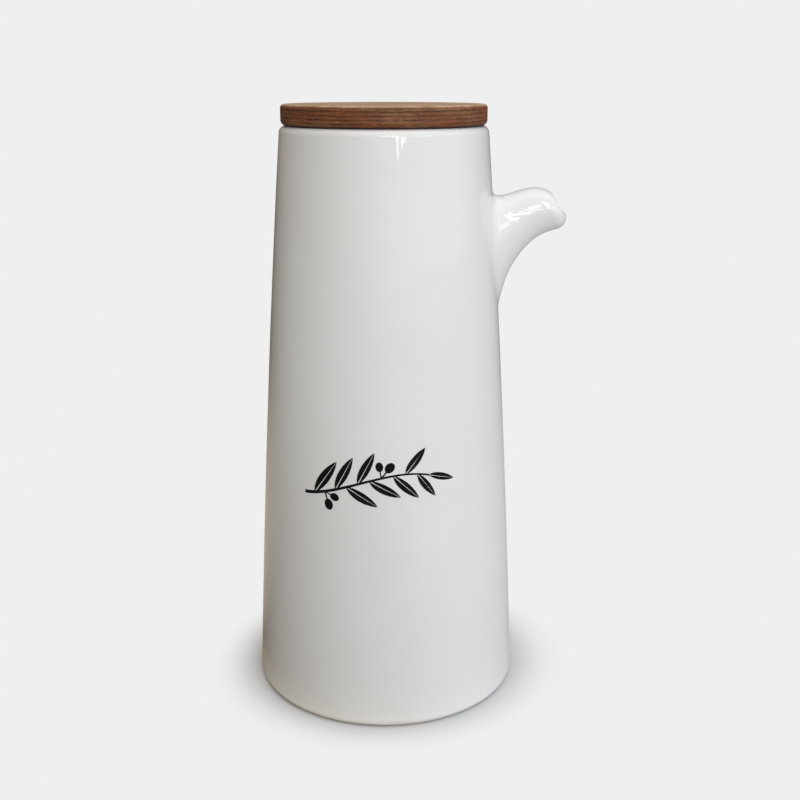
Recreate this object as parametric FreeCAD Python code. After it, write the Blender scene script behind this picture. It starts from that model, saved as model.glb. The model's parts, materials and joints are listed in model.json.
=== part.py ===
import FreeCAD, Part
import math
import os

# Oil container: a slip-cast glazed vessel with a pouring spout, a turned wooden lid and the
# silicone ring that seals the lid's plug in the mouth. Millimetres, +Z up, origin at the
# middle of the foot on the table, spout along +X.

# Vessel
rim_height = 193.3
foot_radius = 46.0
rim_radius = 33.9
wall_bow = 0.85
vessel_wall = 4.5
floor_thickness = 4.6
foot_rounding = 2.2
foot_ring_width = 3.8
recess_depth = 1.4
cavity_rounding = 7.0
rim_outer_rounding = 2.3
rim_inner_rounding = 1.1

# Spout, outside: the drop is from the rim to where the spout's top leaves the wall, the root
# is where the loft starts inside the wall, and the crest is the highest place of the top, at
# a share of the reach. Tilt is in degrees.
spout_drop = 22.5
spout_reach = 25.6
root_depth = 44.0
root_width = 21.0
root_embed = 3.5
root_keel = 0.3
crest_share = 0.508
crest_rise = 2.65
mouth_rise = 0.8
mouth_depth = 10.1
mouth_width = 11.6
mouth_tilt = 36.5
nose_rounding = 3.9
blend_at_top = 2.2
blend_below = 12.0

# Side view of the spout between its ends, as shares of the crest's place and of the root's
# depth: first how far out, then how far up or down.
top_shape = [(0.15, 0.0), (0.41, 0.27), (0.68, 0.68)]
under_shape = [(0.13, 0.76), (0.24, 0.56), (0.39, 0.42), (0.58, 0.313), (0.795, 0.256)]

# How quickly the spout narrows from root to mouth, and how many sections shape it
flare = 2.0
section_count = 8
section_points = 16

# Spout, inside: the channel lies above the middle of the spout at its root, and the bore a
# little above the middle of the mouth, which it only nears at the very end.
channel_root_depth = 24.0
channel_root_width = 13.5
channel_root_lift = 7.5
channel_blend = 2.0
mouth_bore = 7.0
mouth_bore_lift = 1.0
bore_lift_power = 4
lip_rounding = 0.7

# Lid
lid_setback = 0.5
lid_thickness = 6.7
lid_top_rounding = 1.2
lid_bottom_rounding = 1.8
plug_depth = 9.0
plug_clearance = 1.6
plug_rounding = 1.0
groove_drop = 1.8
groove_height = 5.0
groove_depth = 1.5

# Seal ring
seal_clearance = 0.3
fin_count = 2
fin_root = 1.2
fin_tip = 0.6
band_proud = 0.15

# A rounding's largest share of the tightest curve that it follows, and how near an edge lies
# to the line that picks it
largest_share = 0.93
near = 0.02

Vec = FreeCAD.Vector
origin = Vec(0, 0, 0)
up = Vec(0, 0, 1)
outward = Vec(1, 0, 0)

floor_top = recess_depth + floor_thickness
mouth_radius = rim_radius - vessel_wall
lid_radius = rim_radius - lid_setback
plug_radius = mouth_radius - plug_clearance
groove_radius = plug_radius - groove_depth
groove_top = rim_height - groove_drop
spout_height = rim_height - spout_drop
crest_out = spout_reach * crest_share


def wall_circle(inset):
    """Circle that the wall's gently bowed outline follows, moved in by inset."""
    foot = Vec(foot_radius - inset, 0, 0)
    rim = Vec(rim_radius - inset, 0, rim_height)
    along = rim - foot
    across = Vec(along.z, 0, -along.x).normalize()
    return Part.Circle(foot, (foot + rim) * 0.5 + across * wall_bow, rim)


def wall_radius(height, inset=0.0):
    """Radius of the wall at one height, moved in by inset."""
    bow = wall_circle(inset)
    return bow.Center.x + math.sqrt(bow.Radius ** 2 - (height - bow.Center.z) ** 2)


def wall_arc(inset, low, high):
    """The wall's outline, moved in by inset, between two of its points."""
    middle = (low.z + high.z) / 2
    return Part.Arc(low, Vec(wall_radius(middle, inset), 0, middle), high)


def arc_about(centre, start, end):
    """The shorter arc about a centre, between two points of its circle."""
    middle = centre + (start + end - centre * 2).normalize() * (start - centre).Length
    return Part.Arc(start, middle, end)


def corner_arc(inset, height, rounding, above, within):
    """Arc that joins the level line at a height to the wall's outline, moved in by inset.

    It lies above the line or below it, and within the outline or outside it.
    """
    bow = wall_circle(inset)
    rise = height + (rounding if above else -rounding) - bow.Center.z
    reach = bow.Radius - (rounding if within else -rounding)
    centre = bow.Center + Vec(math.sqrt(reach ** 2 - rise ** 2), 0, rise)
    on_line = Vec(centre.x, 0, height)
    on_wall_line = bow.Center + (centre - bow.Center) * (bow.Radius / reach)
    return arc_about(centre, on_line, on_wall_line)


def revolved(edges):
    """Solid of revolution from the edges of a closed outline, in any order."""
    outline = Part.Wire(Part.__sortEdges__(edges))
    solid = Part.Face(outline).revolve(origin, up, 360)
    # The seam goes to the back, away from the spout.
    solid.rotate(origin, up, 180)
    return solid


def outside():
    """Solid form of the vessel without its spout: foot ring, recess, wall and rounded rim."""
    recess_radius = foot_radius - foot_rounding - foot_ring_width
    foot = corner_arc(0.0, 0.0, foot_rounding, True, True)
    rim = corner_arc(0.0, rim_height, rim_outer_rounding, False, True)
    lines = [
        (Vec(0, 0, rim_height), Vec(0, 0, recess_depth)),
        (Vec(0, 0, recess_depth), Vec(recess_radius, 0, recess_depth)),
        (Vec(recess_radius, 0, recess_depth), Vec(recess_radius, 0, 0)),
        (Vec(recess_radius, 0, 0), foot.StartPoint),
        (rim.StartPoint, Vec(0, 0, rim_height)),
    ]
    arcs = [foot, rim, wall_arc(0.0, foot.EndPoint, rim.EndPoint)]
    return revolved([Part.makeLine(*line) for line in lines] + [arc.toShape() for arc in arcs])


def inside():
    """The space in the vessel, up through its flared mouth."""
    above_rim = rim_height + vessel_wall
    bottom = corner_arc(vessel_wall, floor_top, cavity_rounding, True, True)
    flare_out = corner_arc(vessel_wall, rim_height, rim_inner_rounding, False, False)
    lip = flare_out.StartPoint
    lines = [
        (Vec(0, 0, above_rim), Vec(0, 0, floor_top)),
        (Vec(0, 0, floor_top), bottom.StartPoint),
        (lip, Vec(lip.x, 0, above_rim)),
        (Vec(lip.x, 0, above_rim), Vec(0, 0, above_rim)),
    ]
    arcs = [bottom, flare_out, wall_arc(vessel_wall, bottom.EndPoint, flare_out.EndPoint)]
    return revolved([Part.makeLine(*line) for line in lines] + [arc.toShape() for arc in arcs])


def turned(corners):
    """Solid of revolution from (radius, height) corners, in order round the outline."""
    points = [Vec(radius, 0, height) for radius, height in corners]
    return revolved(Part.makePolygon(points + points[:1]).Edges)


def points_along(edge, count=5):
    """Points between the ends of an edge."""
    first, last = edge.FirstParameter, edge.LastParameter
    return [edge.valueAt(first + (last - first) * (k + 1) / (count + 1)) for k in range(count)]


def round_edge(shape, radius, height, rounding):
    """Round the edge that runs level round the axis at that radius and height."""
    edges = []
    for edge in shape.Edges:
        offsets = [abs(math.hypot(p.x, p.y) - radius) + abs(p.z - height) for p in points_along(edge)]
        if max(offsets) < near:
            edges.append(edge)
    return shape.makeFillet(rounding, edges)


def side_line(points):
    """Smooth line through points in the XZ plane."""
    line = Part.BSplineCurve()
    line.interpolate(Points=points)
    return line


def spout_stations():
    """Top point, lower point and share of the way out, for each section of the spout."""
    root = Vec(wall_radius(spout_height), 0, spout_height)
    tilt = math.radians(mouth_tilt)
    mouth_low = root + Vec(spout_reach, 0, mouth_rise - mouth_depth * math.cos(tilt))
    mouth_top = mouth_low + Vec(-math.sin(tilt), 0, math.cos(tilt)) * mouth_depth
    top_points = [root - outward * root_embed]
    for out, rise in top_shape:
        top_points.append(root + Vec(out * crest_out, 0, rise * crest_rise))
    top_points.append(root + Vec(crest_out, 0, crest_rise))
    top_points.append(mouth_top)
    under_points = [root - up * root_depth]
    for out, drop in under_shape:
        under_points.append(root + Vec(out * spout_reach, 0, -drop * root_depth))
    under_points.append(mouth_low)
    top_line = side_line(top_points)
    under_line = side_line(under_points)
    stations = []
    for index in range(section_count):
        share = index / (section_count - 1)
        top = top_line.value(top_line.parameterAtDistance(share * top_line.length()))
        low = under_line.value(under_line.parameterAtDistance(share * under_line.length()))
        stations.append((top, low, share))
    return stations


def oval(middle, upright, depth, width, keel=0.0):
    """Closed oval wire: depth along upright, width along Y, narrower below by its keel."""
    points = []
    for index in range(section_points):
        turn = 2 * math.pi * index / section_points
        points.append(
            middle
            + upright * (depth / 2 * math.cos(turn))
            + Vec(0, width / 2 * math.sin(turn) * (1 + keel * math.cos(turn)), 0)
        )
    curve = Part.BSplineCurve()
    curve.interpolate(Points=points, PeriodicFlag=True)
    start, end = curve.FirstParameter, curve.LastParameter
    half = (start + end) / 2
    return Part.Wire([Part.Edge(curve, start, half), Part.Edge(curve, half, end)])


def taper(at_root, at_mouth, share):
    """A size that falls from the root's to the mouth's, quickly first."""
    return at_mouth + (at_root - at_mouth) * (1 - share) ** flare


def spout_skin():
    """The spout's solid outside form, with a round nose."""
    sections = []
    for top, low, share in spout_stations():
        upright = top - low
        depth = upright.Length
        width = taper(root_width, mouth_width, share)
        keel = taper(root_keel, 0.0, share)
        sections.append(oval((top + low) * 0.5, upright.normalize(), depth, width, keel))
    skin = Part.makeLoft(sections, True)
    nose = max(skin.Faces, key=lambda face: face.CenterOfMass.x)
    # The rounding stays under the tightest curve of the nose's outline.
    tightest = min(mouth_depth ** 2 / mouth_width, mouth_width ** 2 / mouth_depth) / 2
    return skin.makeFillet(min(nose_rounding, largest_share * tightest), nose.Edges)


def spout_channel():
    """The spout's inside, from within the cavity to beyond the mouth."""
    sections = []
    for top, low, share in spout_stations():
        upright = (top - low).normalize()
        lift = taper(channel_root_lift, 0.0, share) + mouth_bore_lift * share ** bore_lift_power
        middle = (top + low) * 0.5 + upright * lift
        depth = taper(channel_root_depth, mouth_bore, share)
        width = taper(channel_root_width, mouth_bore, share)
        sections.append(oval(middle, upright, depth, width))
    into_cavity = sections[0].copy()
    into_cavity.translate(outward * -(vessel_wall + root_embed))
    past_mouth = sections[-1].copy()
    past_mouth.translate(Vec(upright.z, 0, -upright.x) * nose_rounding)
    return Part.makeLoft([into_cavity] + sections + [past_mouth], True)


def on_wall(edge, inset=0.0):
    """Whether an edge runs on the wall, moved in by inset, other than level round it."""
    points = points_along(edge)
    heights = [point.z for point in points]
    if min(heights) < 0 or max(heights) > rim_height or max(heights) - min(heights) < vessel_wall:
        return False
    return all(abs(math.hypot(p.x, p.y) - wall_radius(p.z, inset)) < near for p in points)


def blend_spout(shape):
    """Blend the spout into the wall: tight above, a long sweep below."""
    meeting = [edge for edge in shape.Edges if edge.BoundBox.XMin > 0 and on_wall(edge)]
    # The line where they meet is two mirrored halves, and one picks the whole of it.
    climbing = max(meeting, key=lambda edge: edge.valueAt(edge.LastParameter).z)
    return shape.makeFillet(blend_below, blend_at_top, [climbing])


def round_lip(shape):
    """Round the edge where the bore opens in the nose."""
    top, low, share = spout_stations()[-1]
    bore = (top + low) * 0.5 + (top - low).normalize() * mouth_bore_lift
    edges = []
    for edge in shape.Edges:
        ways = [point.distanceToPoint(bore) for point in points_along(edge)]
        if max(ways) < mouth_bore / 2 + lip_rounding:
            edges.append(edge)
    return shape.makeFillet(lip_rounding, edges)


def vessel():
    """Bowed conical vessel and spout in one piece, on an unglazed foot ring."""
    skin = blend_spout(outside().fuse(spout_skin()))
    hollow = inside().fuse(spout_channel())
    into_spout = [edge for edge in hollow.Edges if edge.BoundBox.XMin > 0 and on_wall(edge, vessel_wall)]
    return round_lip(skin.cut(hollow.makeFillet(channel_blend, into_spout)))


def lid():
    """Turned wooden disc with a grooved plug under it."""
    lid_top = rim_height + lid_thickness
    disc = Part.makeCylinder(lid_radius, lid_thickness, Vec(0, 0, rim_height))
    disc = round_edge(disc, lid_radius, lid_top, lid_top_rounding)
    disc = round_edge(disc, lid_radius, rim_height, lid_bottom_rounding)
    plug_bottom = rim_height - plug_depth
    plug = Part.makeCylinder(plug_radius, plug_depth, Vec(0, 0, plug_bottom))
    plug = round_edge(plug, plug_radius, plug_bottom, plug_rounding)
    groove_bottom = Vec(0, 0, groove_top - groove_height)
    groove_floor = Part.makeCylinder(groove_radius, groove_height, groove_bottom)
    groove = Part.makeCylinder(mouth_radius, groove_height, groove_bottom).cut(groove_floor)
    return disc.fuse(plug).cut(groove).removeSplitter()


def seal_ring():
    """Silicone band in the plug's groove, with fins that wipe the mouth."""
    band_radius = plug_radius + band_proud
    fin_radius = mouth_radius - seal_clearance
    bottom = groove_top - groove_height
    corners = [(groove_radius, groove_top), (groove_radius, bottom), (band_radius, bottom)]
    pitch = groove_height / fin_count
    for index in range(fin_count):
        height = bottom + (index + 0.5) * pitch
        corners.append((band_radius, height - fin_root / 2))
        corners.append((fin_radius, height - fin_tip / 2))
        corners.append((fin_radius, height + fin_tip / 2))
        corners.append((band_radius, height + fin_root / 2))
    corners.append((band_radius, groove_top))
    return turned(corners)


os.makedirs("parts", exist_ok=True)
for name, shape in (("vessel", vessel()), ("lid", lid()), ("seal_ring", seal_ring())):
    shape.exportStep("parts/" + name + ".step")
    print(name, len(shape.Solids), shape.isValid(), round(shape.Volume), len(shape.Faces))
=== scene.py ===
import json
import math

import bpy
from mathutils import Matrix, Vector
from mathutils.bvhtree import BVHTree

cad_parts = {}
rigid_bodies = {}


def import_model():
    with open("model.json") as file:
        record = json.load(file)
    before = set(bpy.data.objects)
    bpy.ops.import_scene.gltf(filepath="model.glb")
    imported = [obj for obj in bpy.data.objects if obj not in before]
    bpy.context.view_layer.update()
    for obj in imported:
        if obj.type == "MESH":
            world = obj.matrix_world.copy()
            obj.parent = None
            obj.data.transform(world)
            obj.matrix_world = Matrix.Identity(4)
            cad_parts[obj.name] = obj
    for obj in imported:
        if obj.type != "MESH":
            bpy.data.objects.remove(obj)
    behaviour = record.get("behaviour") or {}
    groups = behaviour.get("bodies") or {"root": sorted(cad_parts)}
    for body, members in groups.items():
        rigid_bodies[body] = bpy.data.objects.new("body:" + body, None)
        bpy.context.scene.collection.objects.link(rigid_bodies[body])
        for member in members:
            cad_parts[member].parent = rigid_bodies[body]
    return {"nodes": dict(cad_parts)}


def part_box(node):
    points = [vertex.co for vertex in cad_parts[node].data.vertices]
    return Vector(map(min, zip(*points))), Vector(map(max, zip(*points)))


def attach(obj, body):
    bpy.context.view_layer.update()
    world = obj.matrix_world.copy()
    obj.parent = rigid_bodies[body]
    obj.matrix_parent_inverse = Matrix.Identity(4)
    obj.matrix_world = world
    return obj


# Start from an empty file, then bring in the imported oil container
for leftOver in list(bpy.data.objects):
    bpy.data.objects.remove(leftOver)
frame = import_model()
bpy.context.view_layer.update()

scene = bpy.context.scene
scene.view_settings.view_transform = "Standard"
mm = 0.001


def linearColour(hexColour):
    # sRGB hex to the linear numbers a shader wants
    channels = [int(hexColour[place:place + 2], 16) / 255 for place in (0, 2, 4)]
    linear = [c / 12.92 if c <= 0.04045 else ((c + 0.055) / 1.055) ** 2.4 for c in channels]
    return (*linear, 1.0)


def addNode(tree, kind, links=None, **settings):
    # one node with its settings; links maps a socket's name or number to a value, a socket, a
    # node, whose first output in use is taken, or a list of these
    node = tree.nodes.new(kind)
    for name, value in settings.items():
        setattr(node, name, value)
    for socket, value in (links or {}).items():
        for source in value if isinstance(value, list) else [value]:
            if isinstance(source, bpy.types.Node):
                source = next(output for output in source.outputs if output.enabled)
            if isinstance(source, bpy.types.NodeSocket):
                tree.links.new(source, node.inputs[socket])
            else:
                node.inputs[socket].default_value = source
    return node


def startMaterial(name):
    material = bpy.data.materials.new(name)
    material.use_nodes = True
    material.node_tree.nodes.clear()
    return material, material.node_tree


def finishMaterial(tree, shader):
    addNode(tree, "ShaderNodeOutputMaterial", {"Surface": shader})


# Glazed stoneware: a glossy off-white glaze pooled over slip-cast clay. The eye gets a wet
# gloss on a skin that is never quite even, a pinhole here and there, and bare clay underneath.
glaze = {
    "thick": "e9e8e8",
    "thin": "e2e0dd",
    "pinhole": "5d554d",
    "bareClay": "cdbfa9",
    "cloudSize": 38 * mm,
    "waveSize": 17 * mm,
    "waveDepth": 0.012 * mm,
    "peelSize": 1.1 * mm,
    "peelDepth": 0.0012 * mm,
    "pinholeGap": 26 * mm,
    "pinholeRadius": 0.24 * mm,
    "pinholeShare": 0.35,  # of the cells, each pinholeGap wide
    "gritSize": 0.6 * mm,
    "roughness": 0.03,
    "clayRoughness": 0.82,
    "bareHeight": 0.2 * mm,
    "ior": 1.52,
}


def makeGlaze():
    material, tree = startMaterial("glazed stoneware")
    place = addNode(tree, "ShaderNodeTexCoord").outputs["Object"]
    clouds = addNode(tree, "ShaderNodeTexNoise", {"Vector": place, "Scale": 1 / glaze["cloudSize"]})
    body = addNode(tree, "ShaderNodeMix", {
        "Factor": clouds, "A": linearColour(glaze["thick"]),
        "B": linearColour(glaze["thin"])}, data_type="RGBA")
    # a few pinholes: small dots in the cells that draw a low random number
    cells = addNode(tree, "ShaderNodeTexVoronoi", {"Vector": place, "Scale": 1 / glaze["pinholeGap"]})
    dot = addNode(tree, "ShaderNodeMath", {
        0: cells.outputs["Distance"],
        1: glaze["pinholeRadius"] / glaze["pinholeGap"]}, operation="LESS_THAN")
    chance = addNode(tree, "ShaderNodeSeparateColor", {"Color": cells.outputs["Color"]})
    drawn = addNode(tree, "ShaderNodeMath", {
        0: chance.outputs["Red"], 1: glaze["pinholeShare"]}, operation="LESS_THAN")
    hole = addNode(tree, "ShaderNodeMath", {0: dot, 1: drawn}, operation="MULTIPLY")
    spotted = addNode(tree, "ShaderNodeMix", {
        "Factor": hole, "A": body, "B": linearColour(glaze["pinhole"])}, data_type="RGBA")
    # the foot ring was wiped clean of glaze before firing
    height = addNode(tree, "ShaderNodeSeparateXYZ", {"Vector": place}).outputs["Z"]
    bare = addNode(tree, "ShaderNodeMath", {0: height, 1: glaze["bareHeight"]}, operation="LESS_THAN")
    grit = addNode(tree, "ShaderNodeTexNoise", {
        "Vector": place, "Scale": 1 / glaze["gritSize"], "Detail": 3.0})
    clay = addNode(tree, "ShaderNodeMix", {
        "Factor": grit, "A": linearColour(glaze["bareClay"]),
        "B": linearColour(glaze["thin"])}, data_type="RGBA")
    colour = addNode(tree, "ShaderNodeMix", {"Factor": bare, "A": spotted, "B": clay}, data_type="RGBA")
    gloss = addNode(tree, "ShaderNodeMapRange", {
        "Value": bare, "To Min": glaze["roughness"], "To Max": glaze["clayRoughness"]})
    # slow waves, and the finest orange peel on them
    waves = addNode(tree, "ShaderNodeTexNoise", {
        "Vector": place, "Scale": 1 / glaze["waveSize"], "Detail": 1.0})
    swell = addNode(tree, "ShaderNodeBump", {"Height": waves, "Distance": glaze["waveDepth"]})
    peel = addNode(tree, "ShaderNodeTexNoise", {
        "Vector": place, "Scale": 1 / glaze["peelSize"], "Detail": 1.0})
    skin = addNode(tree, "ShaderNodeBump", {
        "Height": peel, "Distance": glaze["peelDepth"], "Normal": swell})
    shader = addNode(tree, "ShaderNodeBsdfPrincipled", {
        "Base Color": colour, "Roughness": gloss, "Normal": skin, "IOR": glaze["ior"]})
    finishMaterial(tree, shader)
    return material


# Oiled hardwood, turned from a flat-sawn board: growth layers lie almost level, so they run as
# thin dark lines round the edge, with redder and paler zones between them, and the top shows the
# flat-sawn face painted a lighter tan as sheen. Pale pores are painted as glints that catch the
# light, and painted shade darkens the seam against the rim.
wood = {
    "dark": "24130b",
    "tan": "8a5e3e",
    "brown": "76482f",
    "red": "854a2d",
    "toneStops": (0.36, 0.48, 0.62),
    # the top's tones: the flat-sawn figure, painted lighter as the sheen of light on it
    "face": "d6b798",
    "faceDark": "9b7a5c",
    # pale tone of the pores, painted as glints
    "poreGlint": "b98f6c",
    "pith": (0, 4 * mm, -1500 * mm),
    "ringWidth": 1.2 * mm,
    "lateWood": (0.62, 0.97),  # where in a ring the dark line starts, and where it is full
    "faintestRing": 0.6,
    "wander": 0.4 * mm,
    "wanderLength": 24 * mm,
    "breakLength": 11 * mm,
    "breakRange": (0.38, 0.55),
    "brokenLine": 0.35,
    "zoneLength": 15 * mm,
    "zoneFlatness": 3.2,
    "streakLength": 9 * mm,
    "streakWidth": 0.32 * mm,
    "streakRange": (0.48, 0.72),
    "streakShare": 0.5,
    "figureLength": 34 * mm,
    "figureWidth": 2.2 * mm,
    "fibreLength": 14 * mm,
    "fibreWidth": 0.4 * mm,
    "fibreShare": 0.4,
    "faceRange": (0.38, 0.64),
    "faceTurn": (0.45, 0.9),  # upward part of the normal, from the edge's look to the face's
    "poreLength": 1.4 * mm,
    "poreWidth": 0.3 * mm,
    "poreRange": (0.58, 0.74),
    "poreShare": 0.5,
    # painted shade in the seam against the rim
    "seamShadeDepth": 1.2 * mm,
    "seamShadeShare": 0.95,
    "roughness": 0.55,
    "grainDepth": 0.05 * mm,
    "ior": 1.3,
}


def makeWood():
    material, tree = startMaterial("oiled hardwood")
    place = addNode(tree, "ShaderNodeTexCoord").outputs["Object"]
    dark = linearColour(wood["dark"])
    # layers about a pith far below, pushed up and down by long slow waves
    fromPith = addNode(tree, "ShaderNodeMapping", {
        "Vector": place, "Location": tuple(-part for part in wood["pith"])})
    parts = addNode(tree, "ShaderNodeSeparateXYZ", {"Vector": fromPith}).outputs
    side = addNode(tree, "ShaderNodeCombineXYZ", {"Y": parts["Y"], "Z": parts["Z"]})
    reach = addNode(tree, "ShaderNodeVectorMath", {0: side}, operation="LENGTH")
    waves = addNode(tree, "ShaderNodeTexNoise", {
        "Vector": place, "Scale": 1 / wood["wanderLength"], "Roughness": 0.4})
    sway = addNode(tree, "ShaderNodeMath", {
        0: waves, 1: wood["wander"] * 2, 2: reach}, operation="MULTIPLY_ADD")
    turns = addNode(tree, "ShaderNodeMath", {0: sway, 1: 1 / wood["ringWidth"]}, operation="MULTIPLY")
    ring = addNode(tree, "ShaderNodeMath", {0: turns}, operation="FRACT")
    number = addNode(tree, "ShaderNodeMath", {0: turns}, operation="FLOOR")
    each = addNode(tree, "ShaderNodeTexWhiteNoise", {"W": number}, noise_dimensions="1D")
    # broad zones of red, brown and tan wood
    stretched = addNode(tree, "ShaderNodeMapping", {
        "Vector": place, "Scale": (1.0, 1.0, wood["zoneFlatness"])})
    zones = addNode(tree, "ShaderNodeTexNoise", {
        "Vector": stretched, "Scale": 1 / wood["zoneLength"], "Detail": 3.0})
    tone = addNode(tree, "ShaderNodeValToRGB", {"Fac": zones})
    tanStop, brownStop, redStop = wood["toneStops"]
    tone.color_ramp.elements[0].position = tanStop
    tone.color_ramp.elements[0].color = linearColour(wood["tan"])
    tone.color_ramp.elements[1].position = redStop
    tone.color_ramp.elements[1].color = linearColour(wood["red"])
    tone.color_ramp.elements.new(brownStop).color = linearColour(wood["brown"])
    # each layer ends in its own darker or fainter line of late wood
    lineStart, lineFull = wood["lateWood"]
    late = addNode(tree, "ShaderNodeMapRange", {
        "Value": ring, "From Min": lineStart, "From Max": lineFull}, interpolation_type="SMOOTHSTEP")
    depth = addNode(tree, "ShaderNodeMapRange", {"Value": each, "To Min": wood["faintestRing"]})
    # and the lines fade in and out along the edge
    breaks = addNode(tree, "ShaderNodeTexNoise", {
        "Vector": stretched, "Scale": 1 / wood["breakLength"]})
    breakStart, breakEnd = wood["breakRange"]
    whole = addNode(tree, "ShaderNodeMapRange", {
        "Value": breaks, "From Min": breakStart, "From Max": breakEnd,
        "To Min": wood["brokenLine"]}, interpolation_type="SMOOTHSTEP")
    fading = addNode(tree, "ShaderNodeMath", {0: late, 1: whole}, operation="MULTIPLY")
    line = addNode(tree, "ShaderNodeMath", {0: fading, 1: depth}, operation="MULTIPLY")
    banded = addNode(tree, "ShaderNodeMix", {"Factor": line, "A": tone, "B": dark}, data_type="RGBA")
    # fine streaks inside the layers
    streakPlace = addNode(tree, "ShaderNodeMapping", {
        "Vector": place,
        "Scale": (1 / wood["streakLength"], 1 / wood["streakLength"], 1 / wood["streakWidth"])})
    streaks = addNode(tree, "ShaderNodeTexNoise", {
        "Vector": streakPlace, "Scale": 1.0, "Roughness": 0.6})
    streakStart, streakFull = wood["streakRange"]
    streakMix = addNode(tree, "ShaderNodeMapRange", {
        "Value": streaks, "From Min": streakStart, "From Max": streakFull, "To Max": wood["streakShare"]})
    streaked = addNode(tree, "ShaderNodeMix", {
        "Factor": streakMix, "A": banded, "B": dark}, data_type="RGBA")
    # painted sheen: the top, found by its upward normal, is painted a lighter tan, with the flat-sawn
    # face's broad figure and fine fibres along X
    facing = addNode(tree, "ShaderNodeNewGeometry").outputs["Normal"]
    upward = addNode(tree, "ShaderNodeSeparateXYZ", {"Vector": facing}).outputs["Z"]
    edgeEnd, faceStart = wood["faceTurn"]
    litTop = addNode(tree, "ShaderNodeMapRange", {
        "Value": upward, "From Min": edgeEnd, "From Max": faceStart}, interpolation_type="SMOOTHSTEP")
    figurePlace = addNode(tree, "ShaderNodeMapping", {
        "Vector": place, "Scale": (1 / wood["figureLength"], 1 / wood["figureWidth"], 1.0)})
    figure = addNode(tree, "ShaderNodeTexNoise", {
        "Vector": figurePlace, "Scale": 1.0, "Detail": 4.0, "Distortion": 0.4})
    fibrePlace = addNode(tree, "ShaderNodeMapping", {
        "Vector": place, "Scale": (1 / wood["fibreLength"], 1 / wood["fibreWidth"], 1.0)})
    fibres = addNode(tree, "ShaderNodeTexNoise", {"Vector": fibrePlace, "Scale": 1.0})
    faceGrain = addNode(tree, "ShaderNodeMix", {
        "Factor": wood["fibreShare"], "A": figure, "B": fibres}, data_type="FLOAT")
    paleEnd, darkStart = wood["faceRange"]
    faceMix = addNode(tree, "ShaderNodeMapRange", {
        "Value": faceGrain, "From Min": paleEnd, "From Max": darkStart})
    face = addNode(tree, "ShaderNodeMix", {
        "Factor": faceMix, "A": linearColour(wood["face"]),
        "B": linearColour(wood["faceDark"])}, data_type="RGBA")
    sawn = addNode(tree, "ShaderNodeMix", {"Factor": litTop, "A": streaked, "B": face}, data_type="RGBA")
    # short pale pores: real pores in the bump, with their pale tone painted on as glints that catch the
    # light
    porePlace = addNode(tree, "ShaderNodeMapping", {
        "Vector": place,
        "Scale": (1 / wood["poreLength"], 1 / wood["poreLength"], 1 / wood["poreWidth"])})
    pores = addNode(tree, "ShaderNodeTexNoise", {"Vector": porePlace, "Scale": 1.0, "Roughness": 0.6})
    poreStart, poreFull = wood["poreRange"]
    poreMix = addNode(tree, "ShaderNodeMapRange", {
        "Value": pores, "From Min": poreStart, "From Max": poreFull, "To Max": wood["poreShare"]})
    porous = addNode(tree, "ShaderNodeMix", {
        "Factor": poreMix, "A": sawn, "B": linearColour(wood["poreGlint"])}, data_type="RGBA")
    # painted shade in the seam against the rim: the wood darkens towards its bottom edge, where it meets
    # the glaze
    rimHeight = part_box("vessel")[1].z
    height = addNode(tree, "ShaderNodeSeparateXYZ", {"Vector": place}).outputs["Z"]
    seamShade = addNode(tree, "ShaderNodeMapRange", {
        "Value": height, "From Min": rimHeight + wood["seamShadeDepth"],
        "From Max": rimHeight, "To Max": wood["seamShadeShare"]}, interpolation_type="SMOOTHSTEP")
    colour = addNode(tree, "ShaderNodeMix", {"Factor": seamShade, "A": porous, "B": dark}, data_type="RGBA")
    relief = addNode(tree, "ShaderNodeMath", {0: line, 1: pores}, operation="ADD")
    bump = addNode(tree, "ShaderNodeBump", {"Height": relief, "Distance": wood["grainDepth"]})
    shader = addNode(tree, "ShaderNodeBsdfPrincipled", {
        "Base Color": colour, "Roughness": wood["roughness"], "Normal": bump, "IOR": wood["ior"]})
    finishMaterial(tree, shader)
    return material


# Silicone, moulded in a turned tool: milky, a little light comes through, and a satin skin
# with fine rings left by the tool.
silicone = {
    "milky": "e4e3de",
    "dusty": "cfcdc6",
    "toolRing": 0.12 * mm,
    "ringDepth": 0.004 * mm,
    "dustSize": 3 * mm,
    "roughness": 0.38,
    "ior": 1.41,
    "scatter": 0.35,
    "scatterRadius": 1.2 * mm,
}


def makeSilicone():
    material, tree = startMaterial("silicone")
    place = addNode(tree, "ShaderNodeTexCoord").outputs["Object"]
    dust = addNode(tree, "ShaderNodeTexNoise", {
        "Vector": place, "Scale": 1 / silicone["dustSize"], "Detail": 4.0})
    colour = addNode(tree, "ShaderNodeMix", {
        "Factor": dust, "A": linearColour(silicone["milky"]),
        "B": linearColour(silicone["dusty"])}, data_type="RGBA")
    height = addNode(tree, "ShaderNodeSeparateXYZ", {"Vector": place}).outputs["Z"]
    rings = addNode(tree, "ShaderNodeMath", {
        0: height, 1: 2 * math.pi / silicone["toolRing"]}, operation="MULTIPLY")
    wave = addNode(tree, "ShaderNodeMath", {0: rings}, operation="SINE")
    bump = addNode(tree, "ShaderNodeBump", {"Height": wave, "Distance": silicone["ringDepth"]})
    shader = addNode(tree, "ShaderNodeBsdfPrincipled", {
        "Base Color": colour, "Roughness": silicone["roughness"], "IOR": silicone["ior"],
        "Subsurface Weight": silicone["scatter"], "Subsurface Scale": silicone["scatterRadius"],
        "Normal": bump})
    finishMaterial(tree, shader)
    return material


skins = {"vessel": makeGlaze(), "lid": makeWood(), "seal_ring": makeSilicone()}
for nodeName, material in skins.items():
    mesh = frame["nodes"][nodeName].data
    mesh.materials.clear()
    mesh.materials.append(material)
print("materials: glaze, wood and silicone on the three pieces")


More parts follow.
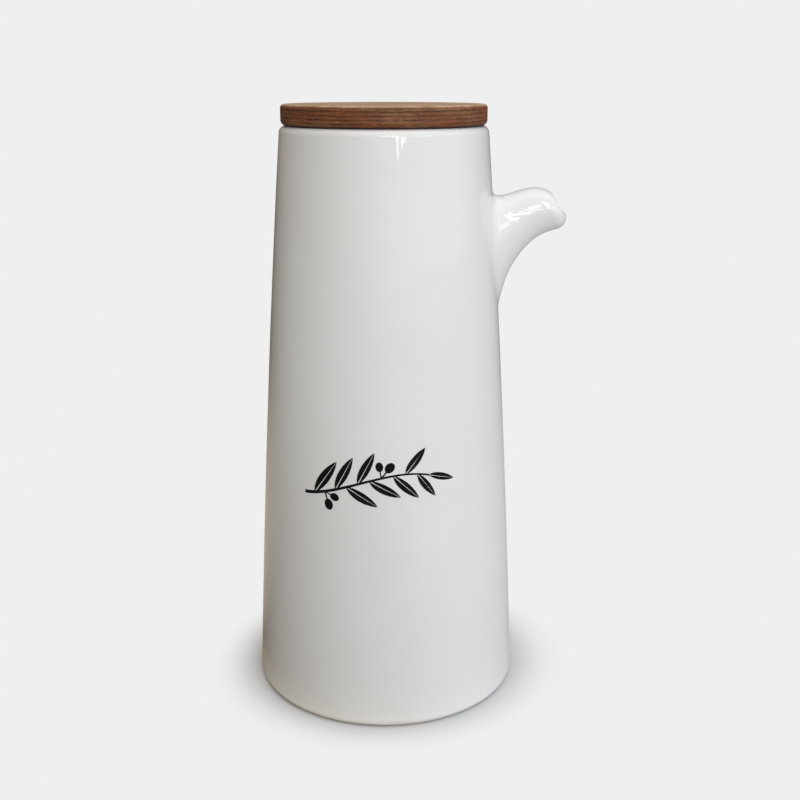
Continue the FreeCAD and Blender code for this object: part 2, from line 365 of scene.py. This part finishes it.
# Olive sprig fired onto the front: a flat black print, a little proud of the glaze. Nodes lay
# out its stem, leaves and olives flat, and then wrap them round the wall.
sprig = {
    "ink": "0d0c0e",
    "inkThin": "1c1a1b",
    "inkGap": 0.5 * mm,
    "inkRange": (0.5, 0.75),
    "roughness": 0.5,
    "thinRoughness": 0.9,
    "ior": 1.2,
    "middle": (-2.2 * mm, 84.6 * mm),  # along the wall from the front, and up from the foot
    "stem": (
        (-25 * mm, -5 * mm, 0), (-13 * mm, -4.5 * mm, 0), (3 * mm, 6.5 * mm, 0), (17 * mm, 2.5 * mm, 0)),
    "stemWidth": 1.1 * mm,
    "stemTip": 0.5 * mm,
    "stemSteps": 40,
    "leafCount": 12,
    "leafLength": 12.0 * mm,
    "leafWidth": 3.7 * mm,
    "leafAngle": 46.0,
    "leafLean": (0.9, 1.1),
    "leafGrowth": (0.88, 1.1),
    "leafShrink": (1.06, 0.82),  # from the first leaf to the one at the tip
    "outerBlade": ((0, 0.04), (0.2, 0.7), (0.72, 0.62), (1, 0.1)),
    "innerBlade": ((0, -0.04), (0.3, -0.52), (0.75, -0.4), (1, 0.08)),
    "bladeSteps": 12,
    "leafCuts": 2,  # times that each leaf's faces are cut, so that it can follow the wall
    "oliveEvery": 5,
    "oliveTurn": 2.0,
    "oliveAngle": 62.0,
    "oliveLength": 3.7 * mm,
    "oliveWidth": 0.78,  # share of its length
    "oliveStalk": 2.7 * mm,
    "oliveReach": 0.45,  # from the stalk's end to the olive's middle, as a share of its length
    "oliveSides": 24,
    "olivePair": ((-24, 1.0), (24, 0.86)),
    "thickness": 0.14 * mm,
    "sunk": 0.08 * mm,
    "weld": 0.002 * mm,
    "wallStep": 10 * mm,
    "seed": 4,
}


def makeInk():
    material, tree = startMaterial("fired black print")
    place = addNode(tree, "ShaderNodeTexCoord").outputs["Object"]
    specks = addNode(tree, "ShaderNodeTexNoise", {
        "Vector": place, "Scale": 1 / sprig["inkGap"], "Detail": 3.0})
    thinStart, thinEnd = sprig["inkRange"]
    thin = addNode(tree, "ShaderNodeMapRange", {
        "Value": specks, "From Min": thinStart, "From Max": thinEnd})
    colour = addNode(tree, "ShaderNodeMix", {
        "Factor": thin, "A": linearColour(sprig["ink"]),
        "B": linearColour(sprig["inkThin"])}, data_type="RGBA")
    gloss = addNode(tree, "ShaderNodeMapRange", {
        "Value": specks, "To Min": sprig["roughness"], "To Max": sprig["thinRoughness"]})
    shader = addNode(tree, "ShaderNodeBsdfPrincipled", {
        "Base Color": colour, "Roughness": gloss, "IOR": sprig["ior"]})
    finishMaterial(tree, shader)
    return material


def wallRadii(vessel, heights):
    # how far the vessel's front stands from its axis at each height
    tree = BVHTree.FromObject(vessel, bpy.context.evaluated_depsgraph_get())
    inFront = 200 * mm
    return [-tree.ray_cast(Vector((0, -inFront, height)), Vector((0, 1, 0)))[0].y for height in heights]


def makeSprigNodes(values, material):
    tree = bpy.data.node_groups.new("olive sprig", "GeometryNodeTree")
    tree.interface.new_socket("Geometry", in_out="OUTPUT", socket_type="NodeSocketGeometry")
    tree.interface.new_socket("Geometry", in_out="INPUT", socket_type="NodeSocketGeometry")
    for name, value in values.items():
        kind = "Vector" if isinstance(value, tuple) else "Int" if isinstance(value, int) else "Float"
        tree.interface.new_socket(name, in_out="INPUT", socket_type="NodeSocket" + kind)
    given = addNode(tree, "NodeGroupInput").outputs

    # stem: a curve in an easy S, drawn as a flat ribbon that thins towards its tip
    stem = addNode(tree, "GeometryNodeCurvePrimitiveBezierSegment", {
        "Start": given["Stem Start"], "Start Handle": given["Stem Start Handle"],
        "End Handle": given["Stem End Handle"], "End": given["Stem End"],
        "Resolution": sprig["stemSteps"]}, mode="POSITION")
    flatWays = addNode(tree, "GeometryNodeSetCurveNormal", {"Curve": stem}, mode="Z_UP")
    howFar = addNode(tree, "GeometryNodeSplineParameter").outputs["Factor"]
    width = addNode(tree, "ShaderNodeMapRange", {
        "Value": howFar, "To Min": given["Stem Width"], "To Max": given["Stem Tip"]})
    across = addNode(tree, "GeometryNodeCurvePrimitiveLine", {
        "Start": (-0.5, 0, 0), "End": (0.5, 0, 0)}, mode="POINTS")
    ribbon = addNode(tree, "GeometryNodeCurveToMesh", {
        "Curve": flatWays, "Profile Curve": across, "Scale": width})

    # where the leaves sit: the first place is the cut end and stays bare, and every few places
    # a pair of olives takes the leaf's turn
    places = addNode(tree, "GeometryNodeCurveToPoints", {
        "Curve": stem, "Count": given["Leaf Count"]}, mode="COUNT")
    index = addNode(tree, "GeometryNodeInputIndex")
    last = addNode(tree, "ShaderNodeMath", {0: given["Leaf Count"], 1: 1.0}, operation="SUBTRACT")
    share = addNode(tree, "ShaderNodeMath", {0: index, 1: last}, operation="DIVIDE")
    odd = addNode(tree, "ShaderNodeMath", {0: index, 1: 2.0}, operation="MODULO")
    turn = addNode(tree, "ShaderNodeMath", {0: index, 1: given["Olive Every"]}, operation="MODULO")
    oliveTurn = addNode(tree, "ShaderNodeMath", {
        0: turn, 1: sprig["oliveTurn"], 2: 0.1}, operation="COMPARE")
    started = addNode(tree, "ShaderNodeMath", {0: index, 1: 0.5}, operation="GREATER_THAN")
    leafTurn = addNode(tree, "ShaderNodeMath", {0: started, 1: oliveTurn}, operation="SUBTRACT")
    leftTurn = addNode(tree, "ShaderNodeMath", {0: leafTurn, 1: odd}, operation="MULTIPLY")
    rightTurn = addNode(tree, "ShaderNodeMath", {0: leafTurn, 1: leftTurn}, operation="SUBTRACT")
    ahead = addNode(tree, "FunctionNodeAlignRotationToVector", {
        "Vector": places.outputs["Tangent"]}, axis="X")
    beforeTip = addNode(tree, "ShaderNodeMath", {0: share, 1: 0.99}, operation="LESS_THAN")
    leastLean, mostLean = sprig["leafLean"]
    lean = addNode(tree, "FunctionNodeRandomValue", {
        "Min": leastLean, "Max": mostLean, "Seed": given["Seed"]}, data_type="FLOAT")
    opened = addNode(tree, "ShaderNodeMath", {0: lean, 1: given["Leaf Angle"]}, operation="MULTIPLY")
    angle = addNode(tree, "ShaderNodeMath", {0: opened, 1: beforeTip}, operation="MULTIPLY")
    smallest, largest = sprig["leafGrowth"]
    growth = addNode(tree, "FunctionNodeRandomValue", {
        "Min": smallest, "Max": largest, "Seed": given["Size Seed"]}, data_type="FLOAT")
    atStart, atTip = sprig["leafShrink"]
    shrink = addNode(tree, "ShaderNodeMapRange", {"Value": share, "To Min": atStart, "To Max": atTip})
    size = addNode(tree, "ShaderNodeMath", {0: growth, 1: shrink}, operation="MULTIPLY")

    # leaf: two blades, each an arc closed by its chord, with the bare vein between them
    leafSize = addNode(tree, "ShaderNodeCombineXYZ", {"X": given["Leaf Length"], "Y": given["Leaf Width"]})
    parts = [ribbon]
    for side, bears in ((1, leftTurn), (-1, rightTurn)):
        blades = []
        for outline in (sprig["outerBlade"], sprig["innerBlade"]):
            points = [
                addNode(tree, "ShaderNodeVectorMath", {
                    0: leafSize, 1: (x, y * side, 0)}, operation="MULTIPLY")
                for x, y in outline]
            edge = addNode(tree, "GeometryNodeCurvePrimitiveBezierSegment", {
                "Start": points[0], "Start Handle": points[1], "End Handle": points[2],
                "End": points[3], "Resolution": sprig["bladeSteps"]}, mode="POSITION")
            blades.append(addNode(tree, "GeometryNodeFillCurve", {"Curve": edge}, mode="TRIANGLES"))
        whole = addNode(tree, "GeometryNodeJoinGeometry", {"Geometry": blades})
        leaf = addNode(tree, "GeometryNodeSubdivideMesh", {"Mesh": whole, "Level": sprig["leafCuts"]})
        sideways = addNode(tree, "ShaderNodeMath", {0: angle, 1: float(side)}, operation="MULTIPLY")
        outwards = addNode(tree, "ShaderNodeCombineXYZ", {"Z": sideways})
        turned = addNode(tree, "FunctionNodeRotateRotation", {
            "Rotation": ahead, "Rotate By": outwards}, rotation_space="LOCAL")
        parts.append(addNode(tree, "GeometryNodeInstanceOnPoints", {
            "Points": places, "Selection": bears, "Instance": leaf, "Rotation": turned, "Scale": size}))

    # a pair of olives: ovals on thin stalks that reach a little way into them
    oval = addNode(tree, "GeometryNodeMeshCircle", {
        "Vertices": sprig["oliveSides"], "Radius": 0.5}, fill_type="TRIANGLE_FAN")
    onStalk = addNode(tree, "ShaderNodeMath", {
        0: given["Olive Length"], 1: sprig["oliveReach"],
        2: given["Olive Stalk"]}, operation="MULTIPLY_ADD")
    olive = addNode(tree, "GeometryNodeTransform", {
        "Geometry": oval, "Translation": addNode(tree, "ShaderNodeCombineXYZ", {"X": onStalk}),
        "Scale": addNode(tree, "ShaderNodeVectorMath", {
            0: given["Olive Length"], 1: (1.0, sprig["oliveWidth"], 1.0)}, operation="MULTIPLY")})
    strip = addNode(tree, "GeometryNodeMeshGrid", {
        "Size X": given["Olive Stalk"], "Size Y": given["Stem Tip"], "Vertices X": 2, "Vertices Y": 2})
    halfWay = addNode(tree, "ShaderNodeMath", {0: given["Olive Stalk"], 1: 0.5}, operation="MULTIPLY")
    stalk = addNode(tree, "GeometryNodeTransform", {
        "Geometry": strip, "Translation": addNode(tree, "ShaderNodeCombineXYZ", {"X": halfWay})})
    single = addNode(tree, "GeometryNodeJoinGeometry", {"Geometry": [olive, stalk]})
    pair = addNode(tree, "GeometryNodeJoinGeometry", {"Geometry": [
        addNode(tree, "GeometryNodeTransform", {
            "Geometry": single, "Scale": (part, part, 1.0), "Rotation": (0, 0, math.radians(tilt))})
        for tilt, part in sprig["olivePair"]]})
    swap = addNode(tree, "ShaderNodeMapRange", {"Value": odd, "To Min": -1.0})
    aside = addNode(tree, "ShaderNodeMath", {0: given["Olive Angle"], 1: swap}, operation="MULTIPLY")
    outwards = addNode(tree, "ShaderNodeCombineXYZ", {"Z": aside})
    turned = addNode(tree, "FunctionNodeRotateRotation", {
        "Rotation": ahead, "Rotate By": outwards}, rotation_space="LOCAL")
    parts.append(addNode(tree, "GeometryNodeInstanceOnPoints", {
        "Points": places, "Selection": oliveTurn, "Instance": pair, "Rotation": turned}))

    # give the flat print its thickness, closed underneath
    flat = addNode(tree, "GeometryNodeJoinGeometry", {"Geometry": parts})
    layer = addNode(tree, "GeometryNodeRealizeInstances", {"Geometry": flat})
    raised = addNode(tree, "GeometryNodeExtrudeMesh", {
        "Mesh": layer, "Offset": addNode(tree, "ShaderNodeCombineXYZ", {"Z": given["Thickness"]}),
        "Offset Scale": 1.0, "Individual": False}, mode="FACES")
    under = addNode(tree, "GeometryNodeFlipFaces", {"Mesh": layer})
    shell = addNode(tree, "GeometryNodeJoinGeometry", {"Geometry": [raised, under]})
    closed = addNode(tree, "GeometryNodeMergeByDistance", {
        "Geometry": shell, "Distance": sprig["weld"]})

    # wrap it round the wall, which leans inwards as it rises
    spot = addNode(tree, "GeometryNodeInputPosition")
    at = addNode(tree, "ShaderNodeSeparateXYZ", {"Vector": spot}).outputs
    along = addNode(tree, "ShaderNodeMath", {0: at["X"], 1: given["Across"]}, operation="ADD")
    roundWall = addNode(tree, "ShaderNodeMath", {0: along, 1: given["Wall Radius"]}, operation="DIVIDE")
    fromSide = addNode(tree, "ShaderNodeMath", {0: roundWall, 1: math.pi / 2}, operation="SUBTRACT")
    wall = addNode(tree, "ShaderNodeMath", {
        0: at["Y"], 1: given["Wall Slope"], 2: given["Wall Radius"]}, operation="MULTIPLY_ADD")
    proud = addNode(tree, "ShaderNodeMath", {0: at["Z"], 1: given["Sunk"]}, operation="SUBTRACT")
    out = addNode(tree, "ShaderNodeMath", {0: wall, 1: proud}, operation="ADD")
    up = addNode(tree, "ShaderNodeMath", {0: at["Y"], 1: given["Height"]}, operation="ADD")
    wrapped = addNode(tree, "ShaderNodeVectorRotate", {
        "Vector": addNode(tree, "ShaderNodeCombineXYZ", {"X": out, "Z": up}), "Angle": fromSide},
        rotation_type="Z_AXIS")
    onVessel = addNode(tree, "GeometryNodeSetPosition", {"Geometry": closed, "Position": wrapped})
    real = addNode(tree, "GeometryNodeRealizeInstances", {"Geometry": onVessel})
    inked = addNode(tree, "GeometryNodeSetMaterial", {"Geometry": real, "Material": material})
    addNode(tree, "NodeGroupOutput", {0: inked})
    return tree


def makeSprig():
    across, height = sprig["middle"]
    step = sprig["wallStep"]
    below, at, above = wallRadii(frame["nodes"]["vessel"], (height - step, height, height + step))
    stemStart, startHandle, endHandle, stemEnd = sprig["stem"]
    values = {
        "Stem Start": stemStart, "Stem Start Handle": startHandle,
        "Stem End Handle": endHandle, "Stem End": stemEnd,
        "Stem Width": sprig["stemWidth"], "Stem Tip": sprig["stemTip"],
        "Leaf Count": sprig["leafCount"], "Leaf Length": sprig["leafLength"],
        "Leaf Width": sprig["leafWidth"], "Leaf Angle": math.radians(sprig["leafAngle"]),
        "Olive Every": sprig["oliveEvery"], "Olive Angle": math.radians(sprig["oliveAngle"]),
        "Olive Length": sprig["oliveLength"], "Olive Stalk": sprig["oliveStalk"],
        "Thickness": sprig["thickness"], "Sunk": sprig["sunk"],
        "Across": across, "Height": height,
        "Wall Radius": at, "Wall Slope": (above - below) / (2 * step),
        "Seed": sprig["seed"], "Size Seed": sprig["seed"] + 1,
    }
    holder = bpy.data.objects.new("sprigBuild", bpy.data.meshes.new("sprigBuild"))
    scene.collection.objects.link(holder)
    modifier = holder.modifiers.new("olive sprig", "NODES")
    modifier.node_group = makeSprigNodes(values, makeInk())
    for socket in modifier.node_group.interface.items_tree:
        if socket.in_out == "INPUT" and socket.name in values:
            modifier[socket.identifier] = values[socket.name]
    bpy.context.view_layer.update()
    graph = bpy.context.evaluated_depsgraph_get()
    mesh = bpy.data.meshes.new_from_object(holder.evaluated_get(graph), depsgraph=graph)
    bpy.data.objects.remove(holder)
    mesh.name = "sprig"
    piece = bpy.data.objects.new("sprig", mesh)
    scene.collection.objects.link(piece)
    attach(piece, "container")
    print("sprig:", len(mesh.polygons), "faces")


makeSprig()


# Camera at the photographed height and distance, a little above the lid, looking down
camera = {
    "place": (5.17 * mm, -364.9 * mm, 207.4 * mm),
    "lookDown": 16.33,
    "lens": 49.17,
    "nearest": 10 * mm,
    "furthest": 20.0,
}


def makeCamera():
    data = bpy.data.cameras.new("camera")
    data.lens = camera["lens"]
    data.clip_start = camera["nearest"]
    data.clip_end = camera["furthest"]
    eye = bpy.data.objects.new("camera", data)
    eye.location = camera["place"]
    eye.rotation_euler = (math.radians(90 - camera["lookDown"]), 0, 0)
    scene.collection.objects.link(eye)
    scene.camera = eye


makeCamera()
print("camera set")


# Pale matt floor. For the camera it takes the soft shadow near the foot, with a painted contact
# shadow in it, and further out it fades to the backdrop's own tone, so that floor and backdrop
# meet without a line. For the glaze it is the table of the room, with the room's light and shade
# painted on: dim on the left, pale on the right and far off in front.
floorLook = {
    "size": 6.0,
    "shadowTone": "fbfbfb",
    "shadowMiddle": (3 * mm, 0, 0),
    "shadowFade": (46 * mm, 69 * mm),
    # painted contact shadow on the floor, for the camera
    "contactShade": 0.38,
    "contactReach": 16 * mm,
    "contactFull": 0.45,
    "contactSamples": 12,
    # table tones seen by the glaze: painted light and shade of the room
    "dim": "5c5146",
    "warm": "e0cfb4",
    "light": "d0d0d2",
    "far": "c4c4c4",
    # painted pool of light round the foot
    "glowDim": "b3a68f",
    "glowLight": "d2d8df",
    "glowFade": (50 * mm, 62 * mm),
    "nearFar": (80 * mm, 600 * mm),
    "leftRight": (-0.2, 1.25),
    "backFront": (0.7, 0.1),
}
backdrop = "efefef"


def makeFloor():
    half = floorLook["size"] / 2
    mesh = bpy.data.meshes.new("floor")
    corners = [(-half, -half, 0), (half, -half, 0), (half, half, 0), (-half, half, 0)]
    mesh.from_pydata(corners, [], [(0, 1, 2, 3)])
    floor = bpy.data.objects.new("floor", mesh)
    scene.collection.objects.link(floor)
    material, tree = startMaterial("pale floor")
    place = addNode(tree, "ShaderNodeTexCoord").outputs["Object"]
    fromShadow = addNode(tree, "ShaderNodeVectorMath", {
        0: place, 1: floorLook["shadowMiddle"]}, operation="DISTANCE")
    fadeStart, fadeEnd = floorLook["shadowFade"]
    fade = addNode(tree, "ShaderNodeMapRange", {
        "Value": fromShadow, "From Min": fadeStart, "From Max": fadeEnd}, interpolation_type="SMOOTHSTEP")
    # the table of the room, with its light and shade painted on for the glaze: pale to the right and far
    # off in front, warm just behind on the left
    heading = addNode(tree, "ShaderNodeVectorMath", {0: place}, operation="NORMALIZE")
    sides = addNode(tree, "ShaderNodeSeparateXYZ", {"Vector": heading}).outputs
    leftEnd, rightEnd = floorLook["leftRight"]
    toRight = addNode(tree, "ShaderNodeMapRange", {
        "Value": sides["X"], "From Min": leftEnd, "From Max": rightEnd}, interpolation_type="SMOOTHSTEP")
    backEnd, frontEnd = floorLook["backFront"]
    inFront = addNode(tree, "ShaderNodeMapRange", {
        "Value": sides["Y"], "From Min": backEnd, "From Max": frontEnd}, interpolation_type="SMOOTHSTEP")
    away = addNode(tree, "ShaderNodeVectorMath", {0: place}, operation="LENGTH")
    nearEnd, farStart = floorLook["nearFar"]
    farOff = addNode(tree, "ShaderNodeMapRange", {
        "Value": away, "From Min": nearEnd, "From Max": farStart}, interpolation_type="SMOOTHSTEP")
    light = linearColour(floorLook["light"])
    dimSide = addNode(tree, "ShaderNodeMix", {
        "Factor": toRight, "A": linearColour(floorLook["dim"]), "B": light}, data_type="RGBA")
    warmBack = addNode(tree, "ShaderNodeMix", {
        "Factor": toRight, "A": linearColour(floorLook["warm"]), "B": light}, data_type="RGBA")
    near = addNode(tree, "ShaderNodeMix", {
        "Factor": inFront, "A": warmBack, "B": dimSide}, data_type="RGBA")
    far = addNode(tree, "ShaderNodeMix", {
        "Factor": inFront, "A": dimSide, "B": linearColour(floorLook["far"])}, data_type="RGBA")
    openTable = addNode(tree, "ShaderNodeMix", {"Factor": farOff, "A": near, "B": far}, data_type="RGBA")
    # painted pool of light: a pale ring on the table round the foot, seen by the glaze's rays alone,
    # lights the foot's rounding from below
    glow = addNode(tree, "ShaderNodeMix", {
        "Factor": toRight, "A": linearColour(floorLook["glowDim"]),
        "B": linearColour(floorLook["glowLight"])}, data_type="RGBA")
    glowStart, glowEnd = floorLook["glowFade"]
    pastGlow = addNode(tree, "ShaderNodeMapRange", {
        "Value": away, "From Min": glowStart, "From Max": glowEnd}, interpolation_type="SMOOTHSTEP")
    table = addNode(tree, "ShaderNodeMix", {
        "Factor": pastGlow, "A": glow, "B": openTable}, data_type="RGBA")
    # painted contact shadow: the floor darkens under and near the foot's rounding, for the camera alone
    closeness = addNode(tree, "ShaderNodeAmbientOcclusion", {
        "Distance": floorLook["contactReach"]}, samples=floorLook["contactSamples"])
    contactShade = addNode(tree, "ShaderNodeMapRange", {
        "Value": closeness.outputs["AO"], "From Min": floorLook["contactFull"],
        "To Min": 1 - floorLook["contactShade"]})
    shaded = addNode(tree, "ShaderNodeVectorMath", {
        0: linearColour(floorLook["shadowTone"])[:3], "Scale": contactShade}, operation="SCALE")
    seen = addNode(tree, "ShaderNodeLightPath").outputs["Is Camera Ray"]
    tone = addNode(tree, "ShaderNodeMix", {"Factor": seen, "A": table, "B": shaded}, data_type="RGBA")
    share = addNode(tree, "ShaderNodeMath", {0: fade, 1: seen}, operation="MULTIPLY")
    matt = addNode(tree, "ShaderNodeBsdfDiffuse", {"Color": tone})
    flat = addNode(tree, "ShaderNodeEmission", {"Color": linearColour(backdrop)})
    both = addNode(tree, "ShaderNodeMixShader", {0: share, 1: matt, 2: flat})
    finishMaterial(tree, both)
    mesh.materials.append(material)


# The room: warm and dim to the left, open and bright to the right, dark behind, with a pale
# ceiling. Its sides are linear colours. The ranges run along the direction's X, Y and Z.
room = {
    "warmSide": (0.27, 0.235, 0.145, 1.0),
    "brightSide": (0.95, 1.0, 1.06, 1.0),
    "behind": (0.17, 0.12, 0.09, 1.0),
    "ceiling": 0.8,
    "leftRight": (-0.95, 0.3),
    "frontBack": (-0.3, 0.6),
    "overhead": (0.8, 0.93),
}


def makeWorld():
    world = bpy.data.worlds.new("studio")
    scene.world = world
    world.use_nodes = True
    tree = world.node_tree
    tree.nodes.clear()
    place = addNode(tree, "ShaderNodeTexCoord").outputs["Generated"]
    sides = addNode(tree, "ShaderNodeSeparateXYZ", {"Vector": place}).outputs
    leftEnd, rightEnd = room["leftRight"]
    across = addNode(tree, "ShaderNodeMapRange", {
        "Value": sides["X"], "From Min": leftEnd, "From Max": rightEnd}, interpolation_type="SMOOTHSTEP")
    front = addNode(tree, "ShaderNodeMix", {
        "Factor": across, "A": room["warmSide"], "B": room["brightSide"]}, data_type="RGBA")
    frontEnd, backEnd = room["frontBack"]
    backing = addNode(tree, "ShaderNodeMapRange", {
        "Value": sides["Y"], "From Min": frontEnd, "From Max": backEnd}, interpolation_type="SMOOTHSTEP")
    walls = addNode(tree, "ShaderNodeMix", {
        "Factor": backing, "A": front, "B": room["behind"]}, data_type="RGBA")
    wallTop, ceilingEdge = room["overhead"]
    overhead = addNode(tree, "ShaderNodeMapRange", {
        "Value": sides["Z"], "From Min": wallTop, "From Max": ceilingEdge,
        "To Max": room["ceiling"]}, interpolation_type="SMOOTHSTEP")
    ceiling = addNode(tree, "ShaderNodeMix", {
        "Factor": 1.0, "A": walls, "B": overhead}, data_type="RGBA", blend_type="ADD")
    ray = addNode(tree, "ShaderNodeLightPath").outputs["Is Camera Ray"]
    light = addNode(tree, "ShaderNodeBackground", {"Color": ceiling})
    seen = addNode(tree, "ShaderNodeBackground", {"Color": linearColour(backdrop)})
    both = addNode(tree, "ShaderNodeMixShader", {0: ray, 1: light, 2: seen})
    addNode(tree, "ShaderNodeOutputWorld", {"Surface": both})


# The panes of a window to the right of the camera. Their lower edges lie just above the horizon
# of the vessel's shoulder, so they show there as a few small bright blocks. Angles in degrees:
# azimuths run from the camera's side with right positive, and glow is each pane's radiance.
window = {
    "distance": 3.0,
    "lookHeight": 190 * mm,
    "panes": [  # name, left, right, low, high, roll, glow
        ("upper pane", -5.0, 12.0, 7.7, 25.0, 0, 3.3),
        ("tall pane", 13.0, 16.0, 4.8, 38.0, 0, 4.6),
        ("wide pane", 17.8, 23.0, 5.8, 34.0, -4, 4.4),
        ("side pane", 25.5, 42.0, 6.6, 17.0, 0, 2.4),
        ("far pane", 44.0, 56.0, 5.7, 24.0, 0, 1.4),
    ],
}


def makeWindow():
    aim = Vector((0, 0, window["lookHeight"]))
    distance = window["distance"]
    for name, left, right, low, high, roll, glow in window["panes"]:
        turn = math.radians((left + right) / 2)
        bottom = distance * math.tan(math.radians(low))
        top = distance * math.tan(math.radians(high))
        data = bpy.data.lights.new(name, "AREA")
        data.shape = "RECTANGLE"
        data.size = 2 * distance * math.tan(math.radians(right - left) / 2)
        data.size_y = top - bottom
        data.energy = 4 * data.size * data.size_y * glow  # a lamp's watts for that radiance
        light = bpy.data.objects.new(name, data)
        way = Vector((math.sin(turn), -math.cos(turn), 0))
        light.location = aim + way * distance + Vector((0, 0, (bottom + top) / 2))
        light.rotation_euler = (math.radians(90), math.radians(roll), turn)
        scene.collection.objects.link(light)


makeFloor()
makeWorld()
makeWindow()
print("floor, world and window set")

bpy.context.view_layer.update()
